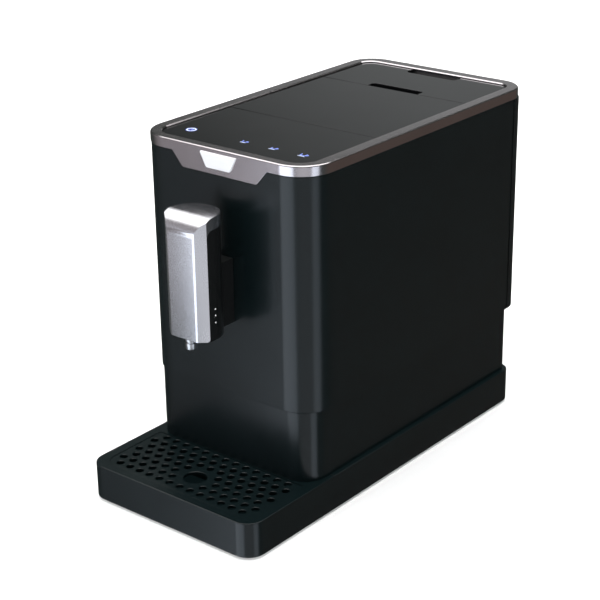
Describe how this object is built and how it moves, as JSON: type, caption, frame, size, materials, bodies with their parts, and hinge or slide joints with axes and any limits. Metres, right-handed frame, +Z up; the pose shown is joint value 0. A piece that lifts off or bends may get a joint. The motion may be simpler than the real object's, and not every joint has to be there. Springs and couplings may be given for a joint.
{
  "type": "hot coffee machine",
  "caption": "Slim black bean-to-cup coffee machine with a metal top rim, height-adjustable spout, pull-out drip drawer, lift-out water tank and glossy top lids.",
  "frame": {"origin": "on the standing surface under the middle of the machine's whole outline, drip tray included", "axes": "+Z up, -Y towards the front (spout and drip tray), +X to the right seen from the front"},
  "size_m": [0.18, 0.389, 0.304],
  "materials": {
    "satin_black": "satin moulded ABS, fine texture",
    "dark_plastic": "dark moulded plastic",
    "glass_black": "high-gloss black panel",
    "satin_metal": "brushed satin metal rim",
    "silver_paint": "fine satin silver",
    "badge_silver": "bright satin, blank",
    "rubber": "matt rubber",
    "frame_plastic": "moulded inner frame",
    "smoke_plastic": "smoke tinted clear plastic",
    "steel": "turned steel",
    "cast_alloy": "cast alloy",
    "brass": "cut brass",
    "white_plastic": "natural acetal",
    "circuit_green": "coated board",
    "silicone": "translucent silicone"
  },
  "bodies": {
    "housing": {"base_housing": "satin_black", "lower_shell": "satin_black", "front_cover": "satin_black", "left_side_cover": "satin_black", "right_side_cover": "satin_black", "rear_cover": "satin_black", "foot_front_left": "rubber", "foot_front_right": "rubber", "foot_rear_left": "rubber", "foot_rear_right": "rubber", "top_rim": "satin_metal", "badge": "badge_silver", "touch_panel": "glass_black", "top_deck": "dark_plastic", "coffee_duct": "dark_plastic", "grounds_chute": "dark_plastic", "grinder_housing": "dark_plastic", "tank_seat": "dark_plastic", "power_inlet": "dark_plastic", "switch_housing": "dark_plastic", "inner_frame": "frame_plastic", "brew_chamber": "frame_plastic", "bean_hopper": "smoke_plastic", "touch_board": "circuit_green", "main_board": "circuit_green", "pump_hose": "silicone", "grinder_motor": "steel", "brew_motor": "steel", "cover_screw_lower_left": "steel", "cover_screw_lower_right": "steel", "cover_screw_upper_left": "steel", "cover_screw_upper_right": "steel", "water_pump": "cast_alloy", "thermoblock": "cast_alloy"},
    "drawer": {"drip_tray": "satin_black", "lower_front_panel": "satin_black"},
    "grille": {"drip_grille": "satin_black"},
    "grounds_container": {"grounds_bin": "dark_plastic"},
    "spout": {"spout_slider": "dark_plastic", "spout_hood": "silver_paint", "spout_nozzle": "steel"},
    "bean_cover": {"bean_lid": "glass_black", "bean_lid_seal": "silicone"},
    "tank": {"water_tank": "smoke_plastic"},
    "tank_cover": {"tank_lid": "glass_black"},
    "valve": {"tank_valve": "silicone"},
    "grinder_rotor": {"grinder_shaft": "steel", "lower_burr": "steel"},
    "adjuster": {"adjuster_ring": "brass", "upper_burr": "steel"},
    "knob": {"grind_knob": "dark_plastic", "adjuster_pinion": "brass"},
    "screw": {"drive_screw": "steel", "drive_gear": "white_plastic"},
    "piston": {"brew_piston": "white_plastic"},
    "pinion": {"motor_pinion": "brass"},
    "rocker": {"power_rocker": "dark_plastic"}
  },
  "joints": [
    {"name": "drawer_slide", "type": "slide", "parent": "housing", "child": "drawer", "axis": [0, -1, 0], "range_m": [0, 0.105]},
    {"name": "grille_lift", "type": "slide", "parent": "drawer", "child": "grille", "axis": [0, 0, 1], "range_m": [0, 0.03]},
    {"name": "bin_lift", "type": "slide", "parent": "drawer", "child": "grounds_container", "axis": [0, 0, 1], "range_m": [0, 0.012]},
    {"name": "spout_slide", "type": "slide", "parent": "housing", "child": "spout", "axis": [0, 0, 1], "range_m": [-0.035, 0]},
    {"name": "bean_lid_lift", "type": "slide", "parent": "housing", "child": "bean_cover", "axis": [0, 0, 1], "range_m": [0, 0.04]},
    {"name": "tank_lift", "type": "slide", "parent": "housing", "child": "tank", "axis": [0, 0, 1], "range_m": [0, 0.165]},
    {"name": "tank_lid_lift", "type": "slide", "parent": "tank", "child": "tank_cover", "axis": [0, 0, 1], "range_m": [0, 0.03]},
    {"name": "valve_slide", "type": "slide", "parent": "tank", "child": "valve", "axis": [0, 0, 1], "range_m": [0, 0.003], "stiffness_N_per_m": 200, "springref_m": -0.004},
    {"name": "grinder_spin", "type": "hinge", "parent": "housing", "child": "grinder_rotor", "pos_m": [0, 0.0485, 0.207], "axis": [0, 0, 1], "continuous": true},
    {"name": "adjuster_turn", "type": "hinge", "parent": "housing", "child": "adjuster", "pos_m": [0, 0.0485, 0.2403], "axis": [0, 0, 1], "range_deg": [-45, 45]},
    {"name": "knob_turn", "type": "hinge", "parent": "housing", "child": "knob", "pos_m": [0.054, 0.0485, 0.29], "axis": [0, 0, 1], "range_deg": [-90, 90]},
    {"name": "screw_turn", "type": "hinge", "parent": "housing", "child": "screw", "pos_m": [0.04, -0.0485, 0.2], "axis": [0, 0, 1], "range_deg": [0, 1080]},
    {"name": "piston_slide", "type": "slide", "parent": "housing", "child": "piston", "axis": [0, 0, 1], "range_m": [-0.0301, 0]},
    {"name": "pinion_turn", "type": "hinge", "parent": "housing", "child": "pinion", "pos_m": [0.0634, -0.0485, 0.262], "axis": [0, 0, 1], "range_deg": [-2160, 0]},
    {"name": "rocker_pivot", "type": "hinge", "parent": "housing", "child": "rocker", "pos_m": [-0.012, 0.1813, 0.056], "axis": [1, 0, 0], "range_deg": [-16, 0]}
  ],
  "couplings": [
    {"joint": "knob_turn", "follows": "adjuster_turn", "ratio": -2},
    {"joint": "piston_slide", "follows": "screw_turn", "m_per_rad": -0.0015915},
    {"joint": "pinion_turn", "follows": "screw_turn", "ratio": -2}
  ]
}
